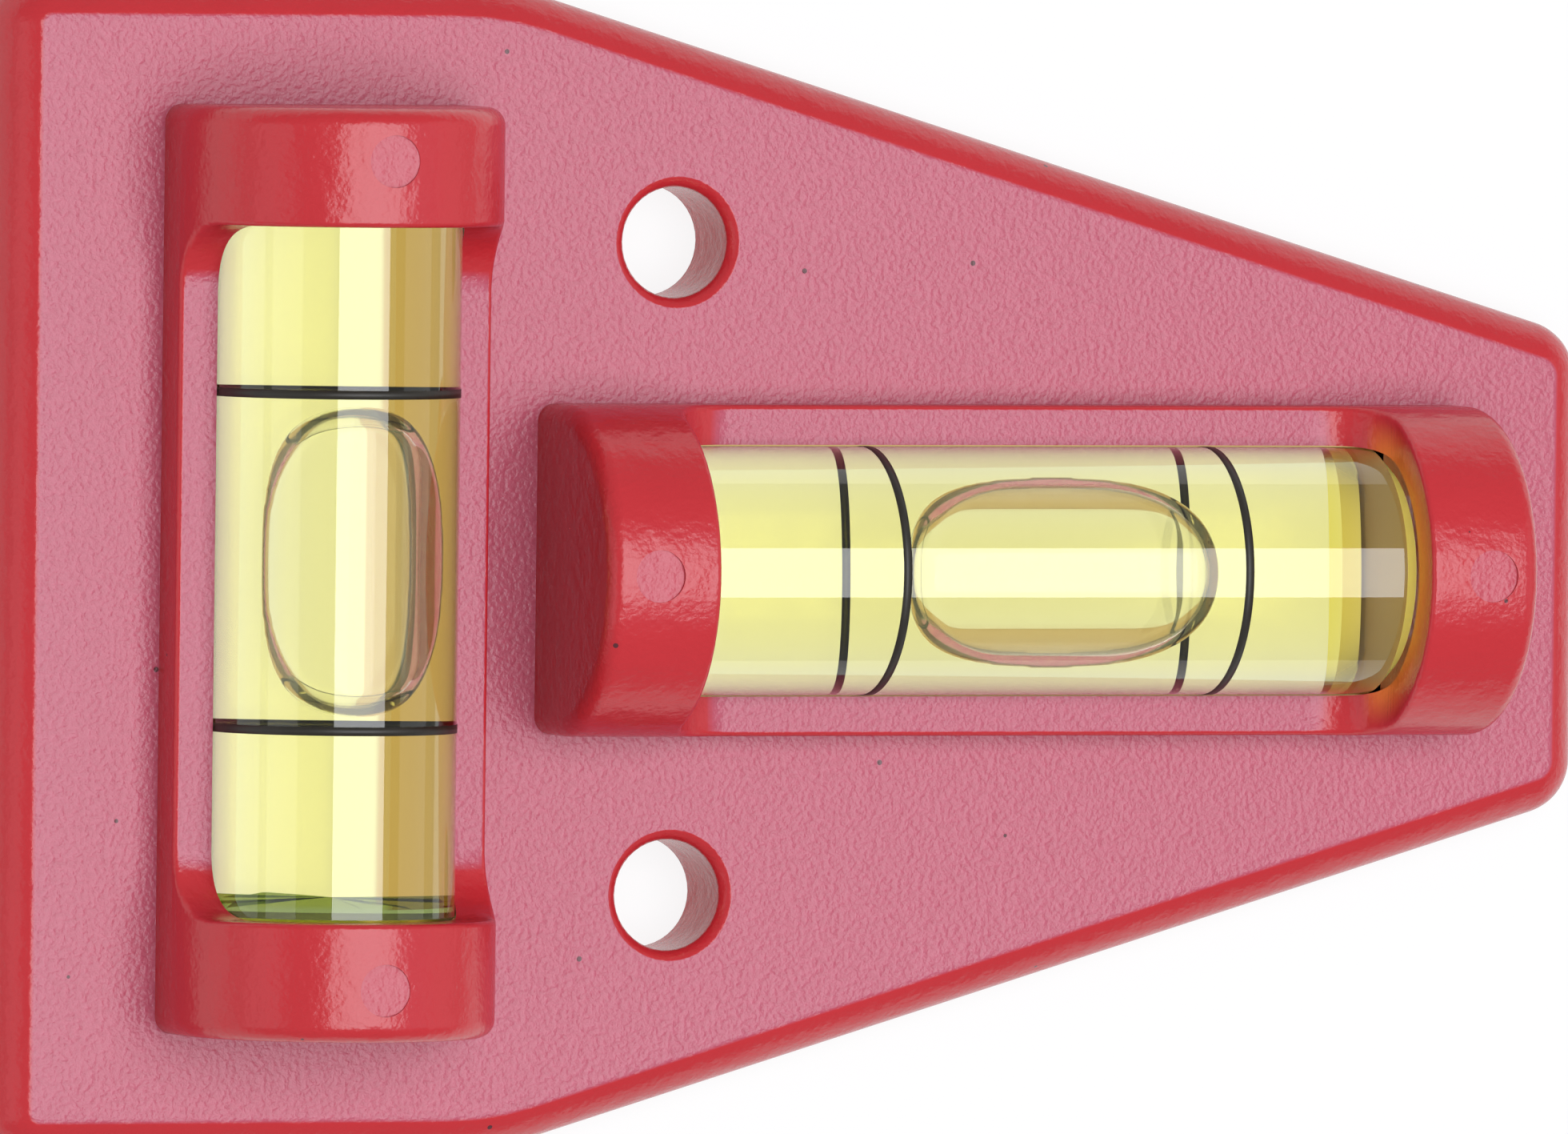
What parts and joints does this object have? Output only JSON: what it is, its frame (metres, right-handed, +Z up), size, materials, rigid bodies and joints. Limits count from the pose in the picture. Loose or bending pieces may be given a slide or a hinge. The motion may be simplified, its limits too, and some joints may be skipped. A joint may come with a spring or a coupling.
{
  "type": "cross bubble level",
  "caption": "Moulded plate, tapered towards one end, that carries tubular spirit vials at right angles and has screw holes.",
  "frame": {"origin": "middle of the base's outline, on the surface that the level rests on", "axes": "+X towards the narrow end, +Y across the plate, +Z up through the vials' tops"},
  "size_m": [0.075, 0.0518, 0.0138],
  "materials": {
    "red_plastic": "finely textured moulded ABS",
    "clear_acrylic": "polished",
    "plug_plastic": "clear, slightly cloudy",
    "liquid": "clear yellow liquid",
    "air": "air bubble",
    "ring_paint": "painted line",
    "glue": "yellowed clear adhesive"
  },
  "bodies": {
    "body": {"housing": "red_plastic", "long_tube": "clear_acrylic", "long_plug": "plug_plastic", "long_liquid": "liquid", "long_ring_left": "ring_paint", "long_ring_right": "ring_paint", "long_glue": "glue", "cross_tube": "clear_acrylic", "cross_plug": "plug_plastic", "cross_liquid": "liquid", "cross_ring_back": "ring_paint", "cross_ring_front": "ring_paint", "cross_glue": "glue"},
    "long_bubble": {"long_bubble": "air"},
    "cross_bubble": {"cross_bubble": "air"}
  },
  "joints": [
    {"name": "long_bubble_travel", "type": "slide", "parent": "body", "child": "long_bubble", "axis": [1, 0, 0], "range_m": [-0.009, 0.007], "stiffness_N_per_m": 0.05, "deforming": ["long_liquid"]},
    {"name": "cross_bubble_travel", "type": "slide", "parent": "body", "child": "cross_bubble", "axis": [0, 1, 0], "range_m": [-0.0075, 0.0095], "stiffness_N_per_m": 0.05, "deforming": ["cross_liquid"]}
  ]
}
